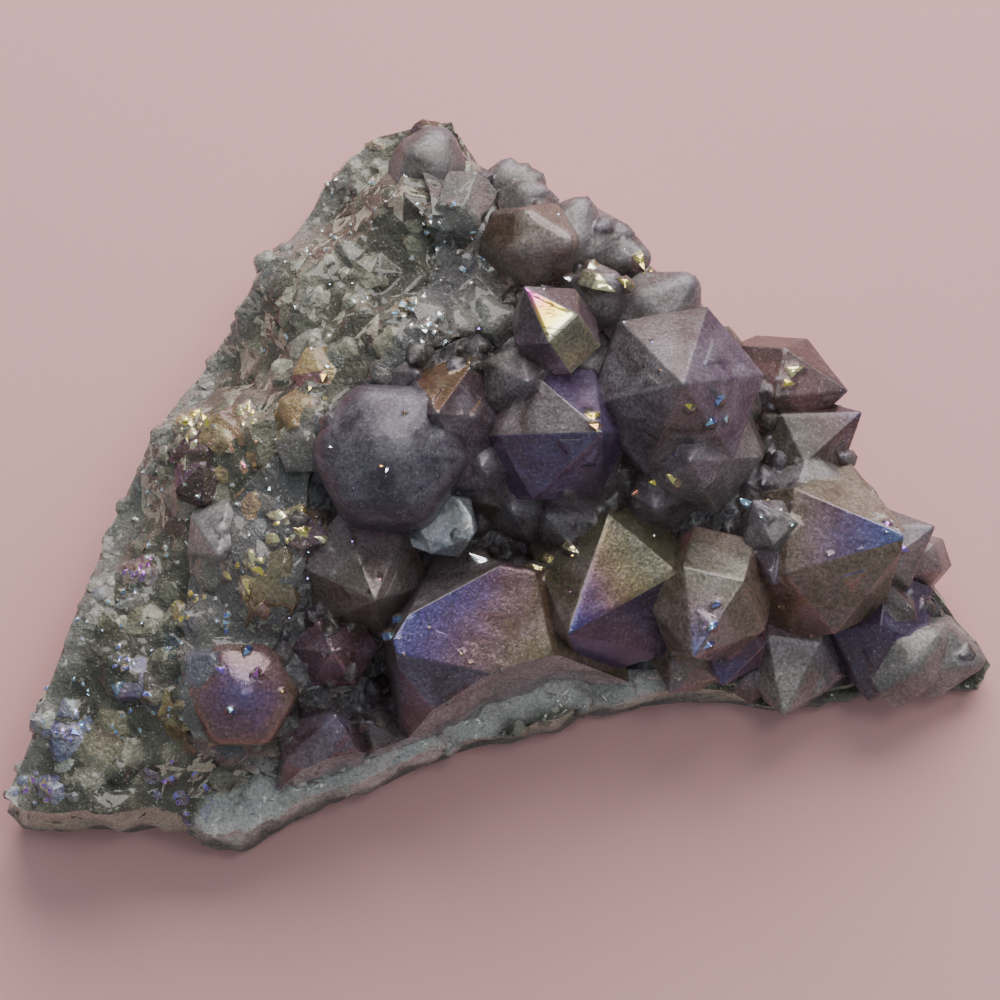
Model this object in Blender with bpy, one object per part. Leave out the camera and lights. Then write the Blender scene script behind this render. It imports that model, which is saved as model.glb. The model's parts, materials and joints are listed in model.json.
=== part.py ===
"""Aura amethyst cluster: a wedge of grey quartz matrix with a crust of joined amethyst crystals on it.

The cluster lies on its flat underside, which is Z = 0. X runs along its longest side and Z is up.
Lengths in the tables are millimetres and angles are degrees.
"""

import math
import random

import bmesh
import bpy
from mathutils import Matrix, Vector, noise

MM = 0.001

# The rock
ROCK_GRID = 2.4  # spacing of the points on the broken surface
ROCK_ROUGH = 0.9  # depth of its lumps and scars
ROCK_LUMP = 5.5  # distance between them
CRUST_THICK = 1.4
GAP = 0.3  # between the matrix and the crust that lies on it
CENTRE = (0.05, 0.85)  # the middle of the outline below, which becomes the origin
# The rock's side, from its foot up: height and size of the outline there
ROCK_SIDE = [(0, 0.972), (1.6, 0.99), (4, 1), (6.5, 0.985), (10, 0.995), (14, 0.985), (60, 0.94)]
SIDE_ROUGH = 0.5
BED_SIZE = 1.012  # of the shape that clears the crust from the matrix's side

# A quartz crystal
R_FACE_TILT = 51.8  # angle between a termination face and the crystal's long axis, taken at its normal
PRISM_SIDES = 6
PRISM_LENGTH = 2.2  # of its radius
WELD = 0.001  # points nearer than this are one

# The small crystals between the large ones
SMALL_COUNT = 60
SMALL_RADIUS = (2, 4)
SMALL_RISE = 0.7  # how far their tips stand off the crust, in radii
SMALL_LEAN = 38
SEED = 20

# Outline of the matrix in plan, anticlockwise from the tip of the wedge's left flank.
MATRIX_OUTLINE = [
    (-15.5, 33.5), (-18, 30.7), (-21.5, 25.2), (-25.5, 19.8), (-30.5, 11.8), (-35.5, 4.4), (-40, -5.2), (-42.2, -11.4),
    (-45.5, -20.4), (-48, -27.9), (-49.7, -31.5), (-48, -33.1), (-42, -33.4), (-38.5, -33.8), (-34.5, -32.8),
    (-31.5, -33.3), (-30, -34.9), (-26, -35.1), (-22.5, -33.1), (-20, -31.2), (-15, -29.7), (-12, -28.7), (-9, -27.1),
    (-6, -25.6), (-2, -24.3), (2, -23.3), (6, -22.8), (9, -21.2), (14, -20.2), (19, -19.9), (24, -20), (28, -20.7),
    (35, -19.7), (40.5, -18.6), (44, -18.2), (48.5, -18.6), (49.8, -16.1), (48.5, -13.7), (46, -11.4), (44.5, -9.1),
    (42, -5.2), (38, 0.7), (34, 4.6), (30, 9.7), (23, 14.9), (20, 19), (16, 21.9), (12, 25.5), (6, 28.3), (2, 31.4),
    (-2, 32.5), (-5, 36.8), (-8, 36.4), (-12.5, 35.5),
]

# Where the crust lies, in plan.
CRUST_OUTLINE = [
    (-9, 33.5), (-7, 27), (-6.3, 20), (-9.3, 12.2), (-14, 6), (-20, 3), (-25, -2), (-30.5, -8), (-32, -18), (-31, -27),
    (-21, -29.5), (-15, -28), (-10, -26), (-6, -23.6), (0, -20.2), (6, -18), (14, -18.4), (19, -18.6), (28, -19.5),
    (35, -18.6), (40, -17.6), (47.5, -17.3), (48.3, -16), (47, -13.2), (43.5, -9.6), (41, -5.6), (37, 0.2), (33, 3.8),
    (29, 8.6), (22, 14), (19, 17.8), (15, 20.9), (11, 24.2), (5.5, 27.1), (1.5, 30.2), (-3, 31), (-5.6, 35),
]

# Where the small crystals grow on it.
GROWN_OUTLINE = [
    (-4, 33), (0, 27), (2, 20), (-3, 12.5), (-10, 8), (-17, 3), (-19, -3), (-19, -10), (-22, -17), (-21, -27),
    (-15, -27), (-10, -25), (-6, -22.8), (0, -19.4), (6, -17.2), (14, -17.6), (28, -18.7), (40, -16.8), (47, -16.3),
    (43.5, -9.6), (37, 0.2), (29, 8.6), (19, 17.8), (11, 24.2), (5.5, 27.1), (1.5, 30.2),
]

# The broken edge that cuts the crystals off along the front, in plan: what is kept lies behind it.
BROKEN_EDGE = [
    (-60, -33.5), (-28, -33.5), (-20, -29.5), (-14, -27.4), (-10, -26), (-6, -24), (0, -20.5), (6, -18.6), (14, -19.2),
    (15, -60), (60, -60), (60, 60), (-60, 60),
]

# Heights of the matrix's top at chosen places: x, y, z.
HEIGHTS = [
    (-49, -31.5, 11), (-40, -3, 12), (-30, 12, 14), (-20, 28, 17), (-12, 34, 20), (-6, 32.5, 22), (-7, 26, 28),
    (-10, 11, 29), (-17, 3.5, 27), (-22, -10, 23), (-30, -21, 18), (-40, -28, 14), (-27, 2.5, 22), (-35, -12.5, 16),
    (-17, 18.5, 24), (0, 28, 20), (5, 22.5, 21), (15, 14, 21), (25, 8.5, 15), (6, 2, 20), (-5, 1.5, 22), (-2, -12, 15),
    (12, -7.5, 14), (20, -13, 11), (35, -6, 11), (38, -15, 6), (46, -15.5, 3), (-2, -24.5, 6), (12, -20, 5),
    (-17, -30, 8), (-27, -35, 8), (28, -19.5, 4), (20, 0, 17), (14, 24.5, 16), (32, 7.5, 10), (-17, -18, 18),
    (-10, -21, 10), (6, -15.5, 8), (42, -6, 7), (35, -18.5, 3), (0, 32.5, 17), (6, 29, 16),
]
HEIGHT_SOFTNESS = 6.0  # mm2, rounds the surface off at each chosen place
HEIGHT_FALL = 1.6

# name: tip x, y, z, azimuth of the lean, lean from upright, turn about its own axis, radius
CRYSTALS = {
    "ball": (-11.1, -1.3, 35, 255, 6, 12, 8),
    "great": (-11.2, -19.5, 25, 192, 34, 0, 12.2),
    "olive": (6.6, -17.2, 22, 242, 40, 0, 9.2),
    "column": (19, -19.3, 21, 256, 52, 0, 6.2),
    "column_foot": (16.9, -21.2, 13, 248, 62, 0, 4.6),
    "violet_rib": (22.2, -20.5, 13, 260, 72, 30, 4),
    "between": (27.2, -11.3, 18, 262, 55, 30, 4.6),
    "east": (40.8, -7.2, 21, 354, 42, 0, 8.8),
    "east_back": (43.7, -4, 13, 20, 60, 0, 4.6),
    "foot": (37.1, -21.1, 8, 262, 78, 30, 5.6),
    "pale_foot": (28.4, -22.6, 9, 262, 62, 0, 5.6),
    "end": (49.8, -16.3, 5, 350, 80, 0, 4.6),
    "end_back": (45.5, -13.5, 9, 30, 70, 0, 4.2),
    "northeast_upper": (35, 9.2, 16, 348, 64, 0, 5.2),
    "northeast_lower": (36.4, 7.3, 15, 24, 62, 0, 5.6),
    "crown": (17.8, 4.8, 35, 280, 12, 0, 8.8),
    "crown_back": (20, 19.2, 25, 40, 52, 0, 4.8),
    "crown_side": (24.5, 12.4, 20, 60, 50, 0, 4.4),
    "belly": (18.6, -1.2, 28, 262, 25, 0, 7.2),
    "belly_low": (15.3, -4.4, 22, 262, 35, 0, 4.8),
    "violet": (10, 0.7, 32, 335, 30, 0, 7.4),
    "violet_low": (6.5, -3.5, 25, 262, 30, 0, 7.2),
    "russet": (-6.1, 2.4, 33, 270, 8, 0, 7.6),
    "russet_low": (-1.8, -1.5, 27, 262, 22, 0, 6.6),
    "nook": (2.7, 6.1, 31, 300, 15, 0, 4.2),
    "bright": (2.3, 15.3, 33, 134, 42, 0, 5),
    "brown_cap": (7.7, 21.3, 28, 345, 40, 0, 4.6),
    "rim_left": (9.2, 28.6, 22, 62, 60, 0, 4),
    "rim_middle": (14.2, 24.5, 21, 10, 62, 0, 4.2),
    "rim_right": (15.7, 21.6, 21, 350, 60, 0, 2.8),
    "star": (12.2, 18.1, 27, 20, 35, 0, 3.4),
    "peak": (-5.3, 36.3, 23, 70, 68, 0, 4.2),
    "peak_a": (1.2, 33, 21, 80, 60, 0, 2.6),
    "peak_b": (3.2, 32.3, 21, 60, 60, 0, 2.4),
    "peak_c": (5, 30.9, 21, 30, 60, 0, 2.4),
    "peak_d": (5.8, 28.4, 22, 10, 60, 0, 2.6),
    "wedge": (-12.2, -14.7, 26, 290, 35, 30, 7),
    "quad": (-2.7, -8.1, 26, 325, 44, 0, 3.4),
    "gap_great": (1.2, -5, 23, 250, 30, 0, 5),
    "gap_olive": (4.5, -5.1, 22, 200, 25, 0, 4.6),
    "gap_east": (28.9, -3.3, 19, 230, 25, 0, 5),
    "spark": (25, -3, 20, 134, 42, 0, 3.4),
    "lower_left": (-16.5, -19, 22, 270, 18, 0, 4.4),
    "lower_right": (-16.2, -24.4, 18, 60, 25, 0, 4.8),
    "iris": (-25.5, -23.1, 22, 270, 10, 0, 5.8),
    "clear_left": (-27.8, -9.5, 23, 262, 35, 30, 4),
    "gold_left": (-21, -8.7, 24, 60, 35, 30, 4),
}
BLUNT_TILT = {"ball": 36, "iris": 32}  # crystals whose ends are blunter, by the same angle as R_FACE_TILT
# Faces that grew less or more than the rest: crystal: {face: shift along its normal in radii}
UNEVEN_FACES = {"great": {0: -0.08, 4: 0.12}, "east": {0: -0.1}, "bright": {3: -0.12}}


def height(x, y):
    """The smooth height of the matrix's top, from the chosen heights weighed by nearness."""
    total = weights = 0.0
    for spot_x, spot_y, spot_z in HEIGHTS:
        weight = ((x - spot_x) ** 2 + (y - spot_y) ** 2 + HEIGHT_SOFTNESS) ** -HEIGHT_FALL
        total += weight * spot_z
        weights += weight
    return total / weights


def broken(x, y):
    """How far the broken surface stands off the smooth one: lumps with sharp valleys between them."""
    distances, _ = noise.voronoi(Vector((x, y, 0)) / ROCK_LUMP)
    return ROCK_ROUGH * (min(distances[1] - distances[0], 0.6) / 0.3 - 1)


def outline_prism(name, outline, bottom, top):
    """A closed upright prism over the outline."""
    bm = bmesh.new()
    ring = [bm.verts.new((x, y, bottom)) for x, y in outline]
    floor = bm.faces.new(ring)
    lifted = bmesh.ops.extrude_face_region(bm, geom=[floor])["geom"]
    for vert in (item for item in lifted if isinstance(item, bmesh.types.BMVert)):
        vert.co.z = top
    return finished(name, bm)


def rock_side(name, outline, size=1.0):
    """A closed block with the rock's lumpy side: the outline at several heights, joined."""
    bm = bmesh.new()
    rings = []
    for level, scale in ROCK_SIDE:
        ring = []
        for x, y in outline:
            spot = Vector((x, y, level))
            lump = 1 + SIDE_ROUGH * noise.noise(spot / ROCK_LUMP) / spot.xy.length
            foot = level if size == 1 or level else -10
            ring.append(bm.verts.new((x * scale * size * lump, y * scale * size * lump, foot)))
        rings.append(ring)
    for lower, upper in zip(rings, rings[1:]):
        edges = [bm.edges.new(pair) if not bm.edges.get(pair) else bm.edges.get(pair) for ring in (lower, upper)
                 for pair in zip(ring, ring[1:] + ring[:1])]
        bmesh.ops.bridge_loops(bm, edges=edges)
    for ring in (rings[0], rings[-1]):
        bm.faces.new(ring)
    return finished(name, bm)


def rock_block(name, rise, rough):
    """A closed block whose top is the broken surface raised by rise."""
    bm = bmesh.new()
    cells = math.ceil(110 / ROCK_GRID)
    bmesh.ops.create_grid(bm, x_segments=cells, y_segments=cells, size=cells * ROCK_GRID / 2)
    top = list(bm.verts)
    lifted = bmesh.ops.extrude_face_region(bm, geom=list(bm.faces))["geom"]
    lower = {item for item in lifted if isinstance(item, bmesh.types.BMVert)}
    for vert in lower:
        vert.co.z = -10
    for vert in top:
        vert.co.z = height(vert.co.x, vert.co.y) + rough * broken(vert.co.x, vert.co.y) + rise
    return finished(name, bm)


def axes(azimuth, lean, turn):
    """The rotation of a crystal whose own Z runs out through its tip."""
    return (
        Matrix.Rotation(math.radians(azimuth), 4, "Z")
        @ Matrix.Rotation(math.radians(lean), 4, "Y")
        @ Matrix.Rotation(math.radians(turn), 4, "Z")
    )


def crystal(name, tip, azimuth, lean, turn, radius, tilt=R_FACE_TILT, uneven={}):
    """A six-sided prism cut to a point by six faces."""
    bm = bmesh.new()
    length = PRISM_LENGTH * radius
    bmesh.ops.create_cone(
        bm,
        cap_ends=True,
        segments=PRISM_SIDES,
        radius1=radius,
        radius2=radius,
        depth=2 * length,
    )
    for face in range(PRISM_SIDES):
        around = math.radians(360 / PRISM_SIDES * face)
        down = math.radians(tilt)
        normal = Vector((math.sin(down) * math.cos(around), math.sin(down) * math.sin(around), math.cos(down)))
        shift = uneven.get(face, 0) * radius
        geometry = list(bm.verts) + list(bm.edges) + list(bm.faces)
        cut = bmesh.ops.bisect_plane(
            bm, geom=geometry, dist=WELD, plane_co=normal * shift, plane_no=normal, clear_outer=True
        )
        bmesh.ops.contextual_create(bm, geom=[item for item in cut["geom_cut"] if isinstance(item, bmesh.types.BMEdge)])
    bmesh.ops.remove_doubles(bm, verts=bm.verts, dist=WELD)
    bmesh.ops.transform(bm, matrix=Matrix.Translation(tip) @ axes(azimuth, lean, turn), verts=bm.verts)
    return finished(name, bm)


def finished(name, bm):
    """An object made of the mesh, whose lengths are millimetres until now."""
    centred = Matrix.Scale(MM, 4) @ Matrix.Translation((-CENTRE[0], -CENTRE[1], 0))
    bmesh.ops.transform(bm, matrix=centred, verts=bm.verts)
    bmesh.ops.triangulate(bm, faces=bm.faces)
    bmesh.ops.recalc_face_normals(bm, faces=bm.faces)
    mesh = bpy.data.meshes.new(name)
    bm.to_mesh(mesh)
    bm.free()
    return bpy.data.objects.new(name, mesh)


def small_crystals():
    """The small crystals that fill the crust between the large ones."""
    chance = random.Random(SEED)
    left, right = min(x for x, _ in CRUST_OUTLINE), max(x for x, _ in CRUST_OUTLINE)
    front, back = min(y for _, y in CRUST_OUTLINE), max(y for _, y in CRUST_OUTLINE)
    made = []
    while len(made) < SMALL_COUNT:
        x, y = chance.uniform(left, right), chance.uniform(front, back)
        radius = chance.uniform(*SMALL_RADIUS)
        azimuth, lean, turn = chance.uniform(0, 360), chance.uniform(0, SMALL_LEAN), chance.uniform(0, 60)
        if inside(x, y, GROWN_OUTLINE):
            tip = Vector((x, y, height(x, y) + CRUST_THICK + SMALL_RISE * radius))
            made.append(crystal(f"small_{len(made)}", tip, azimuth, lean, turn, radius))
    return made


def inside(x, y, outline):
    within = False
    for (x0, y0), (x1, y1) in zip(outline, outline[1:] + outline[:1]):
        if (y0 > y) != (y1 > y) and x < (x1 - x0) * (y - y0) / (y1 - y0) + x0:
            within = not within
    return within


def collection(name, objects):
    group = bpy.data.collections.new(name)
    bpy.context.scene.collection.children.link(group)
    for obj in objects:
        group.objects.link(obj)
    return group


def cutters(name, objects):
    """A collection of shapes that Booleans use. None of them is a part."""
    for obj in objects:
        obj.hide_render = True
        obj.display_type = "WIRE"
    return collection(name, objects)


def boolean(target, operation, other):
    modifier = target.modifiers.new(f"{operation.lower()} {other.name}", "BOOLEAN")
    modifier.operation = operation
    modifier.solver = "EXACT"
    if isinstance(other, bpy.types.Collection):
        modifier.operand_type = "COLLECTION"
        modifier.collection = other
    else:
        modifier.object = other


def material(name, colour, roughness):
    made = bpy.data.materials.new(name)
    made.use_nodes = True
    shader = made.node_tree.nodes["Principled BSDF"]
    shader.inputs["Base Color"].default_value = (*colour, 1)
    shader.inputs["Roughness"].default_value = roughness
    shader.inputs["Metallic"].default_value = 0
    return made


def main():
    for obj in list(bpy.data.objects):
        bpy.data.objects.remove(obj)

    matrix = rock_side("matrix", MATRIX_OUTLINE)
    rock = rock_block("rock", 0, 1)
    cutters("matrix cutters", [rock])
    boolean(matrix, "INTERSECT", rock)
    matrix.data.materials.append(material("grey quartz", (0.36, 0.35, 0.32), 0.55))

    crystals = outline_prism("crystals", CRUST_OUTLINE, 0, 60)
    crust_top = rock_block("crust top", CRUST_THICK, 1.3)
    points = [
        crystal(name, Vector(values[:3]), *values[3:], BLUNT_TILT.get(name, R_FACE_TILT), UNEVEN_FACES.get(name, {}))
        for name, values in CRYSTALS.items()
    ]
    points = cutters("points", points + small_crystals())
    behind_edge = outline_prism("behind edge", BROKEN_EDGE, GAP, 60)
    bed = rock_side("bed", MATRIX_OUTLINE, BED_SIZE)
    bed_top = rock_block("bed top", GAP, 1)
    boolean(bed, "INTERSECT", bed_top)
    cutters("crystal cutters", [crust_top, behind_edge, bed, bed_top])
    boolean(crystals, "INTERSECT", crust_top)
    boolean(crystals, "UNION", points)
    boolean(crystals, "INTERSECT", behind_edge)
    boolean(crystals, "DIFFERENCE", bed)
    crystals.data.materials.append(material("aura amethyst", (0.42, 0.34, 0.44), 0.15))

    collection("aura amethyst cluster", [matrix, crystals])


main()
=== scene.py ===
"""Aura amethyst cluster: its grown-together crystals and its quartz rock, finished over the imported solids.

Lengths in the tables are millimetres and angles are degrees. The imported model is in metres, with its
origin at the tables' CENTRE.
"""

import json
import math
import random
from itertools import accumulate

import bmesh
import bpy
import numpy as np
from mathutils import Matrix, Vector, noise
from mathutils.bvhtree import BVHTree

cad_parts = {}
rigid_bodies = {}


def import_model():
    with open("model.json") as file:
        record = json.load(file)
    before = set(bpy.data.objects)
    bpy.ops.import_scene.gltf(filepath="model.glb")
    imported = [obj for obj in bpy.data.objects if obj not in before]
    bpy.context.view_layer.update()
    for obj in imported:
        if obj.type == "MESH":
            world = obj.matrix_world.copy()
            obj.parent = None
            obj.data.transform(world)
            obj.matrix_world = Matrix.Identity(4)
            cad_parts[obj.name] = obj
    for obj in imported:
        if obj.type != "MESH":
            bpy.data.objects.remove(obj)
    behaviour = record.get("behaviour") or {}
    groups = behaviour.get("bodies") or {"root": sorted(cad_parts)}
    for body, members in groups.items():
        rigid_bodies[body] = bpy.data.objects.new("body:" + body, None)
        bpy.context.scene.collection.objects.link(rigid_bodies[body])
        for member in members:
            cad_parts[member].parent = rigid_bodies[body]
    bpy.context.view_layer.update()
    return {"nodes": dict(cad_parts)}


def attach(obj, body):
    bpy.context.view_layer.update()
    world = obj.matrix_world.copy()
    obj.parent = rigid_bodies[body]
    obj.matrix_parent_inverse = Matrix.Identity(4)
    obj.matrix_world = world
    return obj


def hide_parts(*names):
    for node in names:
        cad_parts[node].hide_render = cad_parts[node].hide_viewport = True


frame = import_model()

MM = 0.001
CENTRE = (0.05, 0.85)  # the middle of the rock's outline, which is the frame's origin

# The camera looks down on the cluster from its front.
VIEW_ELEVATION = 76
VIEW_DISTANCE = 0.6
VIEW_AIM = (-0.00005, -0.0028, 0.0155)
SENSOR = 36
VIEW_WIDTH = 100  # of what the camera sees, at the aim

# A quartz crystal
R_FACE_TILT = 51.8  # between a termination face's normal and the crystal's long axis
SIDES = 6
PRISM_LENGTH = 2.2  # in radii
WELD = 0.001
HIGH = 60  # a height above everything, for the tops of cutters
BASE = 2 * SIDES  # number of the face at a crystal's foot, after its tip faces and its prism faces
FACES = BASE + 1
WORN_EDGE = 0.08
# Crystals with rounder edges: width and segments of the rounding
ROUND_EDGES = {
    "ball": (1.5, 3), "iris": (0.9, 2), "peak": (1, 3), "peak_a": (0.6, 2), "peak_b": (0.6, 2),
    "peak_c": (0.6, 2), "peak_d": (0.6, 2), "rim_left": (0.7, 2), "rim_middle": (0.6, 2),
    "rim_right": (0.5, 2), "star": (0.4, 1), "end": (0.5, 2), "end_back": (0.6, 2),
    "crown_back": (0.7, 2), "crown_side": (0.5, 2), "brown_cap": (0.5, 2),
}
CRUST = 0  # number of the crust, which comes before the crystals' own numbers

# name: tip x, y, z, azimuth of the lean, lean from upright, turn about its own axis, radius
CRYSTALS = {
    "ball": (-11.1, -1.3, 35, 255, 6, 12, 8),
    "great": (-11.2, -19.5, 25, 192, 34, 0, 12.2),
    "olive": (6.6, -17.2, 22, 242, 40, -15, 9.2),
    "column": (19, -19.3, 21, 256, 52, 0, 6.2),
    "column_foot": (16.9, -21.2, 13, 248, 62, 0, 4.6),
    "violet_rib": (22.2, -20.5, 13, 260, 72, 30, 4),
    "between": (27.2, -11.3, 18, 262, 55, 30, 4.6),
    "east": (40.8, -7.2, 21, 354, 42, 0, 8.8),
    "east_back": (43.7, -4, 13, 20, 60, 0, 4.6),
    "foot": (37.1, -21.1, 8, 262, 78, 30, 5.6),
    "pale_foot": (28.4, -22.6, 9, 262, 62, 0, 5.6),
    "end": (49.8, -16.3, 5, 350, 80, 0, 4.6),
    "end_back": (45.5, -13.5, 9, 30, 70, 0, 4.2),
    "northeast_upper": (35, 9.2, 16, 348, 64, 0, 5.2),
    "northeast_lower": (36.4, 7.3, 15, 24, 62, 0, 5.6),
    "crown": (17.8, 4.8, 35, 280, 12, 0, 8.8),
    "crown_back": (20, 19.2, 25, 40, 52, 0, 4.8),
    "crown_side": (24.5, 12.4, 20, 60, 50, 0, 4.4),
    "belly": (18.6, -1.2, 28, 262, 25, 0, 7.2),
    "belly_low": (15.3, -4.4, 22, 262, 35, 0, 4.8),
    "violet": (10, 0.7, 32, 335, 30, 0, 7.4),
    "violet_low": (6.5, -3.5, 25, 262, 30, 0, 7.2),
    "russet": (-6.1, 2.4, 33, 270, 8, 0, 7.6),
    "russet_low": (-1.8, -1.5, 27, 262, 22, 0, 6.6),
    "nook": (2.7, 6.1, 31, 300, 15, 0, 4.2),
    "bright": (2.3, 15.3, 33, 134, 42, 0, 4.15),
    "brown_cap": (7.7, 21.3, 28, 345, 40, 0, 4.6),
    "rim_left": (9.2, 28.6, 22, 62, 60, 0, 4),
    "rim_middle": (14.2, 24.5, 21, 10, 62, 0, 4.2),
    "rim_right": (15.7, 21.6, 21, 350, 60, 0, 2.8),
    "star": (12.2, 18.1, 27, 20, 35, 0, 3.4),
    "peak": (-5.3, 36.3, 23, 70, 68, 0, 4.2),
    "peak_a": (1.2, 33, 21, 80, 60, 0, 2.6),
    "peak_b": (3.2, 32.3, 21, 60, 60, 0, 2.4),
    "peak_c": (5, 30.9, 21, 30, 60, 0, 2.4),
    "peak_d": (5.8, 28.4, 22, 10, 60, 0, 2.6),
    "wedge": (-12.2, -14.7, 26, 290, 35, 30, 7),
    "quad": (-2.7, -8.1, 26, 325, 44, 0, 3.4),
    "gap_great": (1.2, -5, 23, 250, 30, 0, 5),
    "gap_olive": (4.5, -5.1, 22, 200, 25, 0, 4.6),
    "gap_east": (28.9, -3.3, 19, 230, 25, 0, 5),
    "spark": (25, -3, 20, 134, 42, 0, 3.4),
    "lower_left": (-16.5, -19, 22, 270, 18, 0, 4.4),
    "lower_right": (-16.2, -24.4, 18, 60, 25, 0, 4.8),
    "iris": (-25.5, -23.1, 22, 270, 10, 0, 5.8),
    "clear_left": (-27.8, -9.5, 23, 262, 35, 30, 4),
    "gold_left": (-21, -8.7, 24, 60, 35, 30, 4),
}
BLUNT_TILT = {"ball": 36, "iris": 32}
UNEVEN_FACES = {"great": {0: -0.08, 4: 0.12}, "east": {0: -0.1}, "quad": {3: -0.35}}

# In plan: where the crust lies, where the small crystals grow on it, and the broken edge that ends them
# in front
CRUST_OUTLINE = [
    (-9, 33.5), (-7, 27), (-6.3, 20), (-9.3, 12.2), (-14, 6), (-20, 3), (-25, -2), (-30.5, -8),
    (-32, -18), (-31, -27), (-21, -29.5), (-15, -28), (-10, -26), (-6, -23.6), (0, -20.2), (6, -18),
    (14, -18.4), (19, -18.6), (28, -19.5), (35, -18.6), (40, -17.6), (47.5, -17.3), (48.3, -16),
    (47, -13.2), (43.5, -9.6), (41, -5.6), (37, 0.2), (33, 3.8), (29, 8.6), (22, 14), (19, 17.8),
    (15, 20.9), (11, 24.2), (5.5, 27.1), (1.5, 30.2), (-3, 31), (-5.6, 35),
]
GROWN_OUTLINE = [
    (-4, 33), (0, 27), (2, 20), (-3, 12.5), (-10, 8), (-17, 3), (-19, -3), (-19, -10), (-22, -17),
    (-21, -27), (-15, -27), (-10, -25), (-6, -22.8), (0, -19.4), (6, -17.2), (14, -17.6), (28, -18.7),
    (40, -16.8), (47, -16.3), (43.5, -9.6), (37, 0.2), (29, 8.6), (19, 17.8), (11, 24.2), (5.5, 27.1),
    (1.5, 30.2),
]
BROKEN_EDGE = [
    (-60, -33.5), (-28, -33.5), (-20, -29.5), (-14, -27.4), (-10, -26), (-6, -24), (0, -20.5), (6, -18.6),
    (14, -19.2), (15, -60), (60, -60), (60, 60), (-60, 60),
]
FRONT_EDGE = BROKEN_EDGE[1:9]
CRUST_THICK = 1.4
SUNK = 0.7  # how deep the crystals go into the rock
CRUST_SHOWN = 0.7  # how far the crust between the crystals stands off the rock here

# The small crystals between the large ones, as in the solids
SMALL_COUNT = 60
SMALL_RADIUS = (2, 4)
SMALL_RISE = 0.7
SMALL_LEAN = 38
SMALL_SEED = 20
BARE_SPOT, BARE_RADIUS = (5.5, 12.5), 6.5  # none of them shows here, in front of the brightest facet

# The finer ones that fill the gaps
FINE_COUNT = 90
FINE_RADIUS = (0.6, 1.5)
FINE_RISE = (0.2, 0.6)  # how far their tips stand off the solid crystals, in radii
FINE_LEAN = 48
FINE_REACH = 4.5  # most that the crystals stand off the rock where fine ones grow
FINE_SEED = 5

# How a crystal lies that turns its face GLINT_FACE to the overhead light, the film on its other faces, and
# how far it stands off the crystals, off the rock and where it is one of the finest
GLINT_AZIMUTH, GLINT_LEAN, GLINT_FACE = 134, 42, 3
GLINT_BODY = (0.3, 0, 0, 0.3, 0, 0, 0.3)
GLINT_LIFT, ROCK_GLINT_LIFT, DUST_LIFT = 0.25, 0.1, 0.02

# Such facets on the crystals: places in plan, sizes, turns about their own normals and film thicknesses
GLINTS = [
    (10, 17.3, 1.7, 200, 0.05), (12.3, 17.6, 0.9, 20, 0.1), (9, 19.4, 0.8, 90, 0),
    (14, 21.3, 1.1, 160, 0.1), (15, 20.2, 0.8, 300, 0.2), (29.4, 10.9, 1.2, 250, 0.06),
    (28.8, 9.6, 0.8, 220, 0.15), (9, 2.6, 1, 250, 0.16), (9.3, 1.4, 0.6, 30, 0.26),
    (15.2, -1.6, 0.7, 40, 0.14), (17, -1.9, 0.9, 10, 0.1), (5.2, -8.8, 0.9, 200, 0.1),
    (7.2, -8, 0.8, 190, 0.06), (21.4, 4.6, 0.9, 260, 0.7), (20.6, 2.4, 0.6, 80, 0.8),
    (22.2, 3.2, 0.5, 150, 0.9), (18.4, 3.4, 0.7, 20, 0.12), (24.6, -2.3, 1.1, 20, 0.85),
    (3.6, -9.6, 1, 230, 0.08), (4.8, -10.6, 0.7, 260, 0.16), (13.5, -2.4, 0.6, 80, 0.3),
    (21.3, -14, 0.6, 80, 0.68), (20.9, -16.2, 0.7, 100, 0.75), (20.5, -18, 0.6, 90, 0.7),
    (40.5, -6.6, 0.6, 200, 0.6), (38.5, -5.6, 0.5, 220, 0.5), (-10.6, -17.6, 0.7, 240, 0.85),
    (-9.8, -15.6, 0.6, 240, 0.8), (7, 18.5, 0.8, 30, 0.95), (-2, -9.3, 1.3, 10, 0.95),
    (-11, -3.4, 0.3, 120, 0.95), (-27.5, -20.5, 0.7, 30, 0.6), (-25, -18.6, 0.6, 100, 0.75),
    (-24, -21, 0.6, 300, 0.5), (-26.5, -24.5, 0.5, 10, 0.8),
]
DUST_COUNT = 60  # the finest of them, which are scattered
DUST_RADIUS = (0.08, 0.24)
DUST_SEED = 6

# Low steps of growth on the large crystals' faces
STEP_RADIUS = 3.4  # least radius of a crystal that has them
STEPS = 3
PLAIN_FACES = ("great", "olive")  # they have no steps
STEP_HEIGHT = (0.03, 0.12)
STEP_SIZE = (0.1, 0.32)  # in radii of the crystal
STEP_DOWN = (0.12, 0.7)  # how far down the face they lie, in its radii
STEP_ACROSS = (-0.4, 0.4)  # how far across, as a part of how far down
STEP_UPWARD = 0.15  # least height of the normal of a face that has them
STEP_SEED = 8


def metres(bm):
    """Moves a mesh in millimetres to its place in the frame."""
    place = Matrix.Scale(MM, 4) @ Matrix.Translation((-CENTRE[0], -CENTRE[1], 0))
    bmesh.ops.transform(bm, matrix=place, verts=bm.verts)


def helper(name, bm):
    """An object outside the scene, made of the mesh cut into triangles, for a Boolean to use."""
    bmesh.ops.triangulate(bm, faces=bm.faces)
    mesh = bpy.data.meshes.new(name)
    bm.to_mesh(mesh)
    bm.free()
    return bpy.data.objects.new(name, mesh)


def evaluated_mesh(obj):
    """The object's mesh with its modifiers applied."""
    bpy.context.scene.collection.objects.link(obj)
    graph = bpy.context.evaluated_depsgraph_get()
    mesh = bpy.data.meshes.new_from_object(obj.evaluated_get(graph))
    bpy.data.objects.remove(obj)
    return mesh


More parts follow.
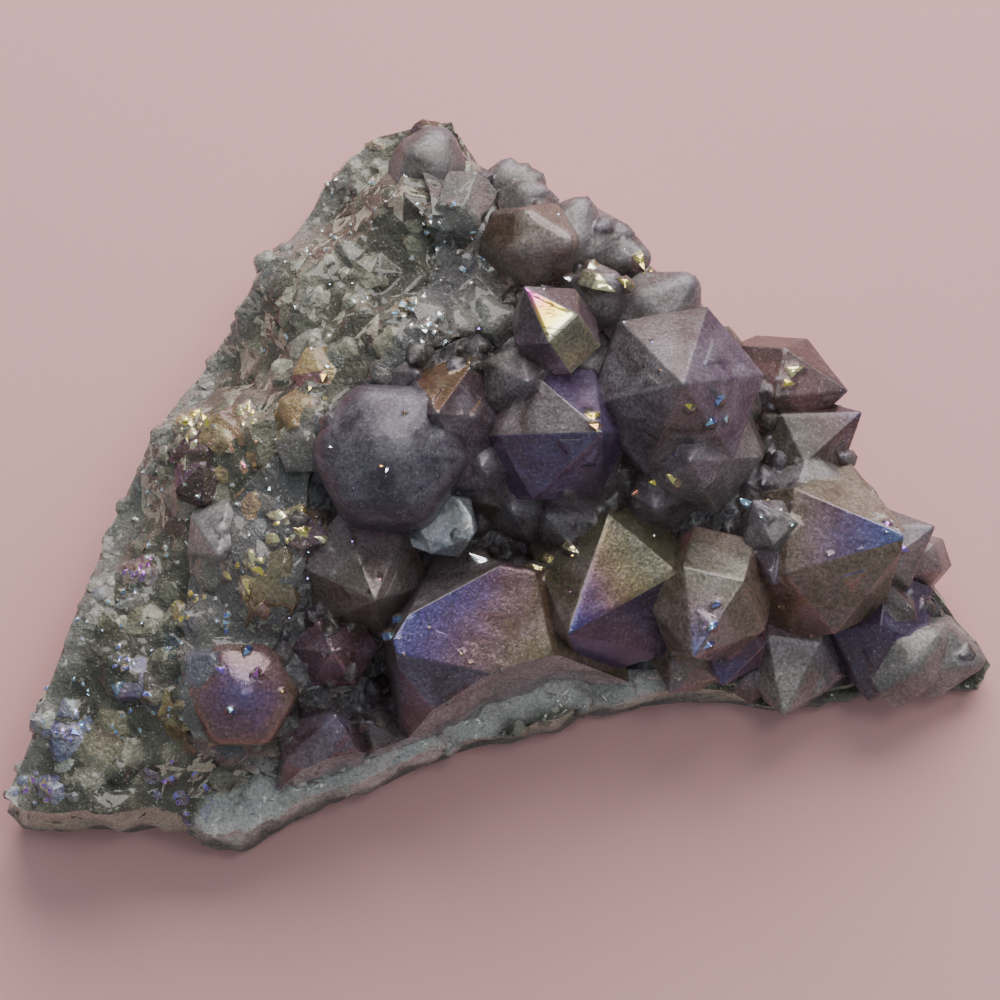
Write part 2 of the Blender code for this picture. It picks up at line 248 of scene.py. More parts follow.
def boolean(target, operation, others):
    """Adds a Boolean of the target with each of the other objects."""
    group = bpy.data.collections.new(f"{operation.lower()} {target.name}")
    for obj in others:
        group.objects.link(obj)
    modifier = target.modifiers.new(group.name, "BOOLEAN")
    modifier.operation = operation
    modifier.solver = "MANIFOLD"
    modifier.operand_type = "COLLECTION"
    modifier.collection = group


def axes(azimuth, lean, turn):
    """The rotation of a crystal whose own Z runs out through its tip."""
    return (
        Matrix.Rotation(math.radians(azimuth), 4, "Z")
        @ Matrix.Rotation(math.radians(lean), 4, "Y")
        @ Matrix.Rotation(math.radians(turn), 4, "Z")
    )


def tip_normal(face, tilt):
    """The normal of a face that is tilted this far from the crystal's own axis."""
    around, down = math.radians(360 / SIDES * face), math.radians(tilt)
    return Vector((math.sin(down) * math.cos(around), math.sin(down) * math.sin(around), math.cos(down)))


def crystal(number, place, radius, tilt=R_FACE_TILT, uneven={}, edge=(0, 1)):
    """A six-sided prism cut to a point by six faces, each face marked with its crystal and its own number."""
    bm = bmesh.new()
    depth = 2 * PRISM_LENGTH * radius
    bmesh.ops.create_cone(bm, cap_ends=True, segments=SIDES, radius1=radius, radius2=radius, depth=depth)
    for face in range(SIDES):
        normal = tip_normal(face, tilt)
        shift = uneven.get(face, 0) * radius
        geometry = [*bm.verts, *bm.edges, *bm.faces]
        cut = bmesh.ops.bisect_plane(
            bm, geom=geometry, dist=WELD, plane_co=normal * shift, plane_no=normal, clear_outer=True
        )
        rim = [item for item in cut["geom_cut"] if isinstance(item, bmesh.types.BMEdge)]
        bmesh.ops.contextual_create(bm, geom=rim)
    bmesh.ops.remove_doubles(bm, verts=bm.verts, dist=WELD)
    bmesh.ops.recalc_face_normals(bm, faces=bm.faces)
    owner, side = bm.faces.layers.int.new("crystal"), bm.faces.layers.int.new("side")
    for face in bm.faces:
        face[owner] = number
        around = round(math.degrees(math.atan2(face.normal.y, face.normal.x)) * SIDES / 360) % SIDES
        if face.normal.z < -0.5:
            face[side] = BASE
        else:
            face[side] = around if face.normal.z > 0.1 else SIDES + around
    width, segments = edge
    if width:
        edges = [line for line in bm.edges if all(face[side] != BASE for face in line.link_faces)]
        bmesh.ops.bevel(
            bm, geom=edges, offset=width, affect="EDGES", segments=segments, profile=0.5, material=-1
        )
    bmesh.ops.transform(bm, matrix=place, verts=bm.verts)
    metres(bm)
    return helper(f"crystal {number}", bm)


def prism(name, outline, bottom, top):
    """A closed upright prism over the outline."""
    bm = bmesh.new()
    floor = bm.faces.new([bm.verts.new((x, y, bottom)) for x, y in outline])
    lifted = bmesh.ops.extrude_face_region(bm, geom=[floor])["geom"]
    for vert in (item for item in lifted if isinstance(item, bmesh.types.BMVert)):
        vert.co.z = top
    bmesh.ops.recalc_face_normals(bm, faces=bm.faces)
    metres(bm)
    return helper(name, bm)


def node_copy(name):
    """The CAD node's mesh with its loose triangles joined."""
    bm = bmesh.new()
    bm.from_mesh(frame["nodes"][name].data)
    bmesh.ops.remove_doubles(bm, verts=bm.verts, dist=WELD * MM)
    return bm


def top_of(bm):
    """A function that gives the height of the mesh's top at x, y, all in millimetres, or None beside it."""
    tree = BVHTree.FromBMesh(bm)
    bm.free()

    def height(x, y):
        above = Vector(((x - CENTRE[0]) * MM, (y - CENTRE[1]) * MM, 1))
        spot, _, _, _ = tree.ray_cast(above, Vector((0, 0, -1)))
        return spot.z / MM if spot else None

    return height


def inside(x, y, outline):
    within = False
    for (x0, y0), (x1, y1) in zip(outline, outline[1:] + outline[:1]):
        if (y0 > y) != (y1 > y) and x < (x1 - x0) * (y - y0) / (y1 - y0) + x0:
            within = not within
    return within


def crust_spots(chance):
    """Random places on the crust, one after the other, without end."""
    left, right = min(x for x, _ in CRUST_OUTLINE), max(x for x, _ in CRUST_OUTLINE)
    front, back = min(y for _, y in CRUST_OUTLINE), max(y for _, y in CRUST_OUTLINE)
    while True:
        yield chance.uniform(left, right), chance.uniform(front, back)


class Cluster:
    """Crystals as they are added: each one's place, radius, tip face tilt, film and facets that mirror."""

    def __init__(self, film):
        self.places = [Matrix.Identity(4)]
        self.radii = [1.0]
        self.tilts = [R_FACE_TILT]
        self.films = [film]
        self.mirrors = []
        self.objects = []

    def add(self, place, radius, film, tilt=R_FACE_TILT, uneven={}, edge=(0, 1)):
        number = len(self.places)
        self.places.append(place)
        self.radii.append(radius)
        self.tilts.append(tilt)
        self.films.append(film)
        self.objects.append(crystal(number, place, radius, tilt, uneven, edge))
        return number

    def add_glint(self, centre, radius, turn, thickness):
        """A crystal with one face towards the overhead light, turned about that face's normal."""
        lying = axes(GLINT_AZIMUTH, GLINT_LEAN, 0)
        normal = lying.to_3x3() @ tip_normal(GLINT_FACE, R_FACE_TILT)
        lying = Matrix.Rotation(math.radians(turn), 4, normal) @ lying
        slope = math.radians(R_FACE_TILT)
        downhill = lying.to_3x3() @ Vector((-math.cos(slope), 0, -math.sin(slope)))
        place = Matrix.Translation(Vector(centre) - downhill * radius) @ lying
        number = self.add(place, radius, {None: GLINT_BODY, GLINT_FACE: (thickness, 0, 0, 1, 0, 0, 1)})
        self.mirrors.append((number, GLINT_FACE))

    def add_steps(self, number, chance):
        """Low crystals that lie along those faces of a large one that face up, as its steps of growth."""
        place, radius, tilt = self.places[number], self.radii[number], self.tilts[number]
        for _ in range(STEPS):
            face = chance.randrange(SIDES)
            down, across = chance.uniform(*STEP_DOWN), chance.uniform(*STEP_ACROSS)
            size, rise = chance.uniform(*STEP_SIZE) * radius, chance.uniform(*STEP_HEIGHT)
            normal = tip_normal(face, tilt)
            if (place.to_3x3() @ normal).z < STEP_UPWARD:
                continue
            sideways = Vector((-normal.y, normal.x, 0)).normalized()
            downhill = sideways.cross(normal)
            if downhill.z > 0:
                downhill.negate()
            spot = (downhill * down + sideways * across * down) * radius + normal * rise
            self.objects.append(crystal(number, place @ Matrix.Translation(spot), size, tilt))


def varied(film, shift):
    """The films of a crystal with their thicknesses shifted."""
    return {face: (row[0] + shift, *row[1:]) for face, row in film.items()}


def leaning(chance, most):
    """A random turn, with a random lean of no more than this from upright."""
    return axes(chance.uniform(0, 360), chance.uniform(0, most), chance.uniform(0, 60))


def grow_large(cluster):
    """The named crystals, with steps of growth on the faces of the larger ones."""
    chance = random.Random(STEP_SEED)
    for name, (x, y, z, azimuth, lean, turn, radius) in CRYSTALS.items():
        place = Matrix.Translation((x, y, z)) @ axes(azimuth, lean, turn)
        tilt, uneven = BLUNT_TILT.get(name, R_FACE_TILT), UNEVEN_FACES.get(name, {})
        film, edge = FILMS.get(name, {None: PLAIN_FILM}), ROUND_EDGES.get(name, (WORN_EDGE, 1))
        number = cluster.add(place, radius, film, tilt, uneven, edge)
        if name in MIRRORS:
            cluster.mirrors.append((number, GLINT_FACE))
        elif radius >= STEP_RADIUS and name not in ROUND_EDGES and name not in PLAIN_FACES:
            cluster.add_steps(number, chance)


def grow_small(cluster, rock_top):
    """The small crystals between them, which stand on the crust."""
    chance = random.Random(SMALL_SEED)
    spots = crust_spots(chance)
    made = 0
    while made < SMALL_COUNT:
        x, y = next(spots)
        radius = chance.uniform(*SMALL_RADIUS)
        turned = leaning(chance, SMALL_LEAN)
        if inside(x, y, GROWN_OUTLINE):
            made += 1
            if math.hypot(x - BARE_SPOT[0], y - BARE_SPOT[1]) < BARE_RADIUS:
                continue
            z = (rock_top(x, y) or 0) + CRUST_THICK + SMALL_RISE * radius
            place = Matrix.Translation((x, y, z)) @ turned
            cluster.add(place, radius, FILMS["small"], edge=(WORN_EDGE, 1))


def grow_fine(cluster, rock_top, crystal_top):
    """The fine crystals that fill the gaps, where the solid ones stand little above the rock."""
    chance = random.Random(FINE_SEED)
    spots = crust_spots(chance)
    made = 0
    while made < FINE_COUNT:
        x, y = next(spots)
        radius = chance.uniform(*FINE_RADIUS)
        turned = leaning(chance, FINE_LEAN)
        rock, top = rock_top(x, y), crystal_top(x, y)
        if not inside(x, y, GROWN_OUTLINE) or rock is None or top is None or top - rock > FINE_REACH:
            continue
        made += 1
        place = Matrix.Translation((x, y, top + chance.uniform(*FINE_RISE) * radius)) @ turned
        cluster.add(place, radius, varied(FILMS["fine"], chance.uniform(-FILM_CHANCE, FILM_CHANCE)))


def set_glints(cluster, crystal_top):
    """The facets that face the overhead light: those in the list, then the finest ones."""
    for x, y, radius, turn, thickness in GLINTS:
        cluster.add_glint((x, y, crystal_top(x, y) + GLINT_LIFT), radius, turn, thickness)
    chance = random.Random(DUST_SEED)
    spots = crust_spots(chance)
    made = 0
    while made < DUST_COUNT:
        x, y = next(spots)
        top = crystal_top(x, y)
        if top is not None and inside(x, y, GROWN_OUTLINE):
            made += 1
            radius, turn = chance.uniform(*DUST_RADIUS), chance.uniform(0, 360)
            cluster.add_glint((x, y, top + DUST_LIFT), radius, turn, chance.random())


def grow_crystals():
    """All the crystals, large, small and fine, as separate closed shapes."""
    cluster = Cluster(FILMS["crust"])
    rock_top, crystal_top = top_of(node_copy("matrix")), top_of(node_copy("crystals"))
    grow_large(cluster)
    grow_small(cluster, rock_top)
    grow_fine(cluster, rock_top, crystal_top)
    set_glints(cluster, crystal_top)
    return cluster


def raised_rock(name, rise):
    """The solid rock moved up or down."""
    bm = node_copy("matrix")
    bmesh.ops.translate(bm, verts=bm.verts, vec=(0, 0, rise * MM))
    return helper(name, bm)


def crust_sheet():
    """The crust under the crystals: the rock's own top, raised a little, within the crust's outline."""
    sheet = raised_rock("sheet", CRUST_SHOWN)
    boolean(sheet, "INTERSECT", [prism("crust", GROWN_OUTLINE, 1, HIGH)])
    return bpy.data.objects.new("crust", evaluated_mesh(sheet))


LONGEST_EDGE = 0.9
REFINING_PASSES = 6
NO_WIDTH = 0.004  # edges this short are merged, and a face with less area than its square is a needle
GROWTH_RELIEF = ((2.6, 0.05), (0.9, 0.012))  # size and depth of the waves on the crystals' faces
BROKEN_RELIEF = ((2.2, 0.7), (0.9, 0.28))  # the same where they are broken off
CRYSTALS_SHARP = 22  # least angle of an edge that isn't shaded smooth


def refine(bm, longest):
    """Cuts long edges in half, again and again, then merges what has no width.

    The passes are counted, because a needle of no width never ends. Needles are then joined to their
    neighbours over their longest sides.
    """
    for _ in range(REFINING_PASSES):
        bmesh.ops.triangulate(bm, faces=bm.faces)
        long_edges = [edge for edge in bm.edges if edge.calc_length() > longest]
        bmesh.ops.subdivide_edges(bm, edges=long_edges, cuts=1)
    bmesh.ops.triangulate(bm, faces=bm.faces)
    bmesh.ops.dissolve_degenerate(bm, dist=NO_WIDTH * MM, edges=bm.edges)
    bmesh.ops.triangulate(bm, faces=bm.faces)
    for _ in range(REFINING_PASSES):
        needles = [face for face in bm.faces if face.calc_area() < (NO_WIDTH * MM) ** 2]
        longest_sides = {max(face.edges, key=lambda edge: edge.calc_length()) for face in needles}
        bmesh.ops.dissolve_edges(bm, edges=list(longest_sides), use_verts=False, use_face_split=False)
        bmesh.ops.triangulate(bm, faces=bm.faces)


def mirror_points(bm, cluster):
    """The points of the facets that mirror, which stay flat."""
    owner, side = bm.faces.layers.int["crystal"], bm.faces.layers.int["side"]
    mirrors = set(cluster.mirrors)
    return {vert for face in bm.faces if (face[owner], face[side]) in mirrors for vert in face.verts}


def refined(whole, longest):
    """The object's mesh with its modifiers applied and its long edges cut."""
    bm = bmesh.new()
    bm.from_mesh(evaluated_mesh(whole))
    refine(bm, longest)
    bm.normal_update()
    return bm


def relief(spot, waves):
    """The height at a place of waves that each have a size and a depth."""
    return sum(depth * noise.noise(spot / size) for size, depth in waves)


def finished_mesh(name, bm, cluster, sharp):
    """The mesh with its films marked, shaded smooth but for edges at least this sharp."""
    mesh = bpy.data.meshes.new(name)
    bm.to_mesh(mesh)
    bm.free()
    mark_film(mesh, cluster)
    mesh.shade_smooth()
    mesh.set_sharp_from_angle(angle=math.radians(sharp))
    return mesh


def crystals_piece():
    """The crystals joined in one solid, with the waves of growth on their faces."""
    cluster = grow_crystals()
    whole = crust_sheet()
    boolean(whole, "UNION", cluster.objects)
    boolean(whole, "INTERSECT", [prism("behind edge", BROKEN_EDGE, 0.3, HIGH)])
    boolean(whole, "DIFFERENCE", [raised_rock("bed", -SUNK)])
    bm = refined(whole, LONGEST_EDGE * MM)
    flat, who = mirror_points(bm, cluster), bm.faces.layers.int["crystal"]
    for vert in bm.verts:
        if vert not in flat:
            broken = all(face[who] == CRUST for face in vert.link_faces)
            wave = relief(vert.co / MM, BROKEN_RELIEF if broken else GROWTH_RELIEF)
            vert.co += vert.normal * wave * MM
    return finished_mesh("crystals", bm, cluster, CRYSTALS_SHARP)


# The film on a crystal's face: its thickness at the tip, how that changes down the face and across it, the
# same for its strength, then the body's tone. Thickness 0 is olive, 0.3 orange, 0.45 magenta, 0.6 violet,
# 0.8 blue and 1 a pale green, and a tone of 0 is dark and 1 pale.
PLAIN_FILM = (0.52, -0.25, 0, 0.22, -0.1, 0, 0.42)
FILMS = {
    "great": {
        None: (0.42, -0.1, 0, 0.25, 0, 0, 0.36), 3: (0.75, -0.6, 0.3, 1.0, -0.4, 0.3, 0.32),
        2: (0.6, -0.2, 0, 0.35, 0, 0, 0.25), 1: (0.6, -0.3, 0, 0.4, 0, 0, 0.2),
    },
    "olive": {
        None: (0.3, -0.1, 0, 0.4, 0, 0, 0.28), 3: (0.78, -0.95, 0.2, 1.0, -0.1, 0, 0.2),
        4: (0.3, -0.25, 0, 0.35, 0.1, 0, 0.22), 2: (0.6, -0.1, 0, 0.35, 0, 0, 0.0),
        1: (0.7, -0.1, 0, 0.7, 0, 0, 0.15),
    },
    "east": {
        None: (0.3, -0.2, 0, 0.5, 0, 0, 0.4), 3: (0.88, -0.7, 0, 0.95, -0.5, 0, 0.45),
        2: (0.2, -0.1, 0, 0.5, 0, 0, 0.5), 4: (0.24, 0.1, 0, 0.7, 0, 0, 0.4),
    },
    "crown": {
        None: (0.42, 0, 0, 0.15, 0, 0, 0.42), 1: (0.78, -0.1, 0, 0.25, 0, 0, 0.42),
        2: (0.76, -0.1, 0, 0.3, 0, 0, 0.42), 3: (0.4, 0, 0, 0.2, 0, 0, 0.45),
    },
    "ball": {None: (0.6, 0, 0, 0.16, 0, 0, 0.25)},
    "violet": {
        None: (0.62, -0.1, 0, 0.6, 0, 0, 0.3), 3: (0.4, 0, 0, 0.35, 0, 0, 0.5),
    },
    "russet": {
        None: (0.45, 0, 0, 0.25, 0, 0, 0.25), 3: (0.34, -0.06, 0, 0.85, 0, 0, -0.6),
    },
    "column": {
        None: (0.42, -0.2, 0, 0.5, 0, 0, 0.5), 3: (0.76, -0.7, 0, 0.85, -0.5, 0, 0.65),
    },
    "column_foot": {None: (0.46, -0.3, 0, 0.6, 0, 0, 0.55)},
    "violet_rib": {None: (0.62, -0.2, 0, 0.7, 0, 0, 0.2)},
    "between": {None: (0.46, 0, 0, 0.45, 0, 0, 0.25)},
    "foot": {None: (0.45, 0.12, 0, 0.4, 0, 0, 0.05)},
    "pale_foot": {None: (0.2, 0.3, 0, 0.3, 0, 0, 0.75)},
    "end": {None: (0.15, 0, 0, 0.12, 0, 0, 0.65)},
    "end_back": {None: (0.15, 0, 0, 0.15, 0, 0, 0.6)},
    "northeast_upper": {None: (0.45, -0.1, 0, 0.35, 0, 0, 0.1)},
    "northeast_lower": {None: (0.55, -0.4, 0, 0.5, -0.4, 0, 0.12)},
    "quad": {None: (0.95, 0, 0, 0.4, 0, 0, 0.8)},
    "iris": {None: (0.62, -0.35, 0, 0.9, 0, 0, 0.5)},
    "lower_left": {None: (0.43, 0, 0, 0.65, 0, 0, 0.4)},
    "lower_right": {None: (0.55, -0.15, 0, 0.5, 0, 0, 0.45)},
    "clear_left": {None: (0.1, 0, 0, 0.08, 0, 0, 0.75)},
    "gold_left": {None: (0.12, 0.1, 0, 0.7, 0, 0, 0.5)},
    "wedge": {None: (0.28, 0.1, 0, 0.4, 0, 0, 0.38)},
    "brown_cap": {None: (0.3, 0, 0, 0.45, 0, 0, 0.5)},
    "bright": {
        None: (0.45, 0, 0, 0.25, 0, 0, 0.12), 3: (0.52, -0.62, 0, 1, 0, 0, 1),
    },
    "small": {None: (0.5, -0.2, 0, 0.2, 0, 0, 0.35)},
    "fine": {None: (0.5, -0.2, 0, 0.15, 0, 0, 0.3)},
    "crust": {None: (0.3, 0, 0, 0.05, 0, 0, 0.2)},
}
FILM_CHANCE = 0.16  # how much the thickness differs from crystal to crystal among the fine ones
MIRRORS = ("bright",)
BROKEN_TONE = 0.8  # of the bodies where they are broken off
# Painted shade: the bodies are painted darker away from their tips, deeper in the cluster
ROOT_PAINTED_SHADE = 0.22  # how much darker the bodies are a radius away from their tips
UPRIGHT = 0.6  # most height of the normal of a broken face
WORN_TURN = 12  # least angle between a worn edge's face and the face that it was cut from


def read(items, name, width=1, kind=float):
    """A value, or a row of values, for each of a mesh's items."""
    values = np.empty(len(items) * width, kind)
    items.foreach_get(name, values)
    return values.reshape(-1, width) if width > 1 else values


def worn_faces(cluster, normals, owner, side):
    """Which faces are the narrow ones along worn edges, turned away from the face they were cut from."""
    turned = np.array([np.array(place)[:3, :3] for place in cluster.places])
    own = np.zeros((len(cluster.places), FACES, 3))
    for number, tilt in enumerate(cluster.tilts):
        for face in range(SIDES):
            own[number, face] = turned[number] @ np.array(tip_normal(face, tilt))
            own[number, face + SIDES] = turned[number] @ np.array(tip_normal(face, 90))
    agree = np.einsum("ij,ij->i", normals, own[owner, side])
    return (agree < math.cos(math.radians(WORN_TURN))) & (owner != CRUST) & (side != BASE)


def corner_films(mesh, cluster, normals, owner, side):
    """The film's thickness and strength and the body's tone at each of the mesh's corners."""
    rows = np.empty((len(cluster.places), FACES, 7))
    for number, films in enumerate(cluster.films):
        for face in range(FACES):
            rows[number, face] = films.get(face % SIDES, films[None]) if face < BASE else films[None]
    inverse = np.array([np.linalg.inv(np.array(place)) for place in cluster.places])
    radii = np.array(cluster.radii)

    points = read(mesh.vertices, "co", 3) / MM + (*CENTRE, 0)
    corner_point = read(mesh.loops, "vertex_index", kind=int)
    corner_face = np.repeat(np.arange(len(mesh.polygons)), read(mesh.polygons, "loop_total", kind=int))
    who, which = owner[corner_face], side[corner_face]
    local = np.einsum("nij,nj->ni", inverse[who][:, :3, :3], points[corner_point]) + inverse[who][:, :3, 3]
    local /= radii[who][:, None]
    angle = np.radians(360 / SIDES * (which % SIDES))
    down = local[:, 0] * np.cos(angle) + local[:, 1] * np.sin(angle)
    across = local[:, 1] * np.cos(angle) - local[:, 0] * np.sin(angle)
    down = np.where(who == CRUST, 0, np.clip(down, 0, 1))
    across = np.where(who == CRUST, 0, across)
    row = rows[who, which]
    broken = ((np.abs(normals[:, 2]) < UPRIGHT) & (owner == CRUST))[corner_face]
    film = np.empty((len(who), 3))
    film[:, 0] = np.clip(row[:, 0] + row[:, 1] * down + row[:, 2] * across, 0, 1)
    film[:, 1] = np.clip(row[:, 3] + row[:, 4] * down + row[:, 5] * across, 0, 1)
    # Painted shade: the tone falls down each face, away from the tip
    film[:, 2] = np.where(broken, BROKEN_TONE, row[:, 6] - ROOT_PAINTED_SHADE * down)
    return film


def mark_film(mesh, cluster):
    """Gives each corner its film and its body's tone, and each face its wear and its material."""
    normals = read(mesh.polygons, "normal", 3)
    owner = read(mesh.attributes["crystal"].data, "value", kind=int)
    side = read(mesh.attributes["side"].data, "value", kind=int)
    film = corner_films(mesh, cluster, normals, owner, side)
    worn = worn_faces(cluster, normals, owner, side)
    slots = np.zeros(len(mesh.polygons), np.int32)
    for number, face in cluster.mirrors:
        slots[(owner == number) & (side == face) & ~worn] = 1
    mesh.attributes.new("film", "FLOAT_VECTOR", "CORNER").data.foreach_set("vector", film.ravel())
    mesh.attributes.new("worn", "FLOAT", "FACE").data.foreach_set("value", worn.astype(np.float32))
    mesh.polygons.foreach_set("material_index", slots)
    for name in ("crystal", "side"):
        mesh.attributes.remove(mesh.attributes[name])


# The rock, and the blunt crystals that stand out of it as lumps
LEFT_EDGE = [(-15.5, 33.5), (-25.5, 19.8), (-35.5, 4.4), (-42.2, -11.4), (-49.7, -31.5)]
RIM_WIDTH = 2.6
LEFT_PALE = 0.45  # how pale the rim along the left edge is
FRONT_PALE = 1.8  # and the band under the crystals' broken edge
FRONT_DEPTH = (1.5, 3)  # over how far back that band fades
FRONT_HEIGHT = (3.5, 6)  # and over what heights it sets in
RIND_HEIGHT = (3, 6.5)  # over what heights the dark rind below ends
CRUST_RAISED = 1.1  # how far the rock stands up where the crust lies but no crystals grow
LUMP_COUNT = 620
LUMP_RADIUS = (1, 3.8)
LUMP_TILT = (22, 42)
LUMP_RISE = (0.12, 0.36)  # in radii
LUMP_LEAN = 34
EDGE_LUMP = 0.2  # how much smaller a lump is where it would stand out past the rock
LUMP_SEED = 3
SUGAR_COUNT = 420  # small lumps along the left rim
FRONT_COUNT = 300  # and along the front
SUGAR_RADIUS = (0.35, 0.9)
ROCK_LONGEST_EDGE = 0.95
ROCK_RELIEF = ((2.6, 0.14), (1.1, 0.08), (0.55, 0.05))  # size and depth of the rock's relief
SIDE_RELIEF = ((5, 0.8), (1.8, 0.4))  # the same for the broken sides
ROCK_SHARP = 26
# The film on the rock's own surface around the lumps; its low tone is painted shade that darkens the crevices
# between them
ROCK_FILM_AND_CREVICE_SHADE = (0.3, 0, 0, 0.03, 0, 0, -0.35)

# Coated and dark places on the rock, which its lumps there share: x, y, radius, film thickness, film
# strength and tone
PATCHES = [
    (-17, 7.8, 2.8, 0.26, 0.7, -0.7),
    (-25, 0, 3.6, 0.22, 0.85, -0.2),
    (-30.5, 0.5, 2.8, 0.4, 0.25, -0.7),
    (-18.3, -4.6, 2.6, 0.3, 0.3, -0.8),
    (-24.8, 14.5, 1.2, 0, 0.7, -0.4),
    (-21, -8, 2.6, 0.05, 0.6, 0.1),
    (-25, -11.3, 2.4, 0.12, 0.7, -0.1),
    (-30.5, -12.5, 2.8, 0.18, 0.6, -0.1),
    (-23.8, -16.5, 3.2, 0.34, 0.7, -0.6),
    (-32, -25.5, 3.4, 0.16, 0.5, -0.7),
    (-36, -8.8, 2.2, 0.5, 0.45, 0.1),
    (-32, -30.9, 3.4, 0.62, 0.5, 0.1),
    (-42, -24.5, 2.6, 0.74, 0.5, 0.1),
    (-37, -18, 2.2, 0.7, 0.45, 0),
    (-46, -30.8, 2.2, 0.7, 0.45, 0.1),
    (-6, 36, 4, 0.3, 0.25, -0.6),
    (-13, 33.5, 1.4, 0.3, 0.5, 0.2),
]
# A place in plan that the lumps' stray colours are strongest near, their strength and their reach
STRAY_PLACE, STRAY_STRENGTH, STRAY_REACH = (-62, -20), 0.3, 40

# Facets on the rock that face the overhead light: x, y, radius of their patch, their number, size and
# film thickness
ROCK_GLINTS = [
    (-30.5, 4.2, 2.2, 12, 0.7, 0.1), (-24.8, 5, 1.4, 7, 0.6, 0.08), (-19.6, -6.8, 2.6, 14, 0.9, 0.06),
    (-25, -11, 2.2, 12, 0.8, 0.1), (-31, -13, 2, 6, 0.5, 0.12), (-36, -8.6, 1.6, 6, 0.45, 0.5),
    (-28, -5, 9, 40, 0.3, 0.95), (-14, 22, 9, 40, 0.22, 0.95), (-38, -20, 9, 40, 0.28, 0.8),
    (-37.2, -18, 1.6, 7, 0.4, 0.72), (-42.4, -24.2, 2.4, 9, 0.5, 0.68), (-46, -31, 1.8, 6, 0.4, 0.55),
    (-32, -30.5, 2.8, 9, 0.5, 0.62), (-27.5, -15.6, 1.6, 4, 0.5, 0.8), (-17.6, 7, 1.4, 3, 0.5, 0.2),
    (-4, 22, 4, 14, 0.4, 0.9), (-7, 13, 3, 20, 0.45, 0.95), (-20, 12, 5, 6, 0.3, 0.9),
    (-33, -3, 5, 6, 0.3, 0.9), (-25, 1, 2.4, 5, 0.5, 0.3),
]


def smooth_step(value, low, high):
    """0 below low and 1 above high, with a smooth rise between."""
    t = min(max((value - low) / (high - low), 0), 1)
    return t * t * (3 - 2 * t)


def edge_distance(x, y, line):
    """Distance in plan from a point to a line through several points."""
    best = math.inf
    for (x0, y0), (x1, y1) in zip(line, line[1:]):
        along = ((x - x0) * (x1 - x0) + (y - y0) * (y1 - y0)) / ((x1 - x0) ** 2 + (y1 - y0) ** 2)
        along = min(max(along, 0), 1)
        best = min(best, math.hypot(x - x0 - along * (x1 - x0), y - y0 - along * (y1 - y0)))
    return best


def open_spots(chance):
    """Random places on the rock where no crystals grow, without end, each with the rock's normal."""
    bm = node_copy("matrix")
    bmesh.ops.triangulate(bm, faces=bm.faces)
    bm.normal_update()
    faces = [face for face in bm.faces if face.normal.z > -0.2]
    sizes = list(accumulate(face.calc_area() for face in faces))
    while True:
        face = chance.choices(faces, cum_weights=sizes)[0]
        first, second = sorted((chance.random(), chance.random()))
        a, b, c = (vert.co for vert in face.verts)
        spot = (a * first + b * (second - first) + c * (1 - second)) / MM + Vector((*CENTRE, 0))
        if spot.z > 0.8 and not inside(spot.x, spot.y, GROWN_OUTLINE):
            if inside(spot.x, spot.y, CRUST_OUTLINE):
                spot.z += CRUST_RAISED
            yield spot, face.normal


def lump_film(chance, x, y):
    """The film of a lump at x, y, which differs from face to face."""
    thickness, tone = chance.uniform(0.1, 0.95), chance.uniform(-0.28, 0.28)
    far = math.hypot(x - STRAY_PLACE[0], y - STRAY_PLACE[1])
    strength = STRAY_STRENGTH * chance.random() * math.exp(-far / STRAY_REACH)
    for spot_x, spot_y, radius, phase, power, shade in PATCHES:
        if math.hypot(x - spot_x, y - spot_y) < radius:
            thickness, strength, tone = phase, power, shade
    film = {None: (thickness, 0, 0, strength, 0, 0, tone)}
    for face in range(SIDES):
        shift, part = chance.uniform(-0.14, 0.14), chance.uniform(0.5, 1)
        lighter = chance.uniform(-0.18, 0.18)
        film[face] = (thickness + shift, 0, 0.1, strength * part, 0, 0, tone + lighter)
    return film


def add_lump(cluster, chance, spot, normal, radius):
    """A blunt crystal that stands a little way out of the rock."""
    lean, azimuth = chance.uniform(0, LUMP_LEAN), chance.uniform(0, 360)
    upright = normal.to_track_quat("Z", "Y").to_matrix().to_4x4()
    turned = upright @ axes(azimuth, lean, chance.uniform(0, 60))
    tip = spot + normal * chance.uniform(*LUMP_RISE) * radius
    film = lump_film(chance, spot.x, spot.y)
    cluster.add(Matrix.Translation(tip) @ turned, radius, film, tilt=chance.uniform(*LUMP_TILT))


def rock_lumps():
    """The lumps of the open rock, then the sugary grains along its left and front edges."""
    chance = random.Random(LUMP_SEED)
    top = top_of(node_copy("matrix"))
    cluster = Cluster({None: ROCK_FILM_AND_CREVICE_SHADE})
    spots = open_spots(chance)
    for _ in range(LUMP_COUNT):
        spot, normal = next(spots)
        open_rock = smooth_step(edge_distance(spot.x, spot.y, LEFT_EDGE), 1, 7) * smooth_step(spot.z, 1, 9)
        open_rock *= smooth_step(normal.z, 0.3, 0.8)
        radius = chance.uniform(*LUMP_RADIUS) * (0.35 + 0.65 * open_rock)
        around = ((1, 0), (0, 1), (-1, 0), (0, -1))
        beside = [top(spot.x + x * radius, spot.y + y * radius) for x, y in around]
        add_lump(cluster, chance, spot, normal, radius * (EDGE_LUMP if None in beside else 1))
    for edge, count, lowest in ((LEFT_EDGE, SUGAR_COUNT, 3), (FRONT_EDGE, FRONT_COUNT, 1.2)):
        made = 0
        while made < count:
            spot, normal = next(spots)
            if edge_distance(spot.x, spot.y, edge) < RIM_WIDTH * 1.4 and spot.z > lowest:
                made += 1
                if normal.z > 0.3:
                    add_lump(cluster, chance, spot, normal, chance.uniform(*SUGAR_RADIUS))
    return cluster, chance


def raised_crust():
    """The rock a little higher, where the crust lies but no crystals grow."""
    crust = raised_rock("crust rock", CRUST_RAISED)
    boolean(crust, "INTERSECT", [prism("crust", CRUST_OUTLINE, 1, HIGH)])
    boolean(crust, "DIFFERENCE", [prism("grown", GROWN_OUTLINE, 0, HIGH + 1)])
    return bpy.data.objects.new("crust", evaluated_mesh(crust))


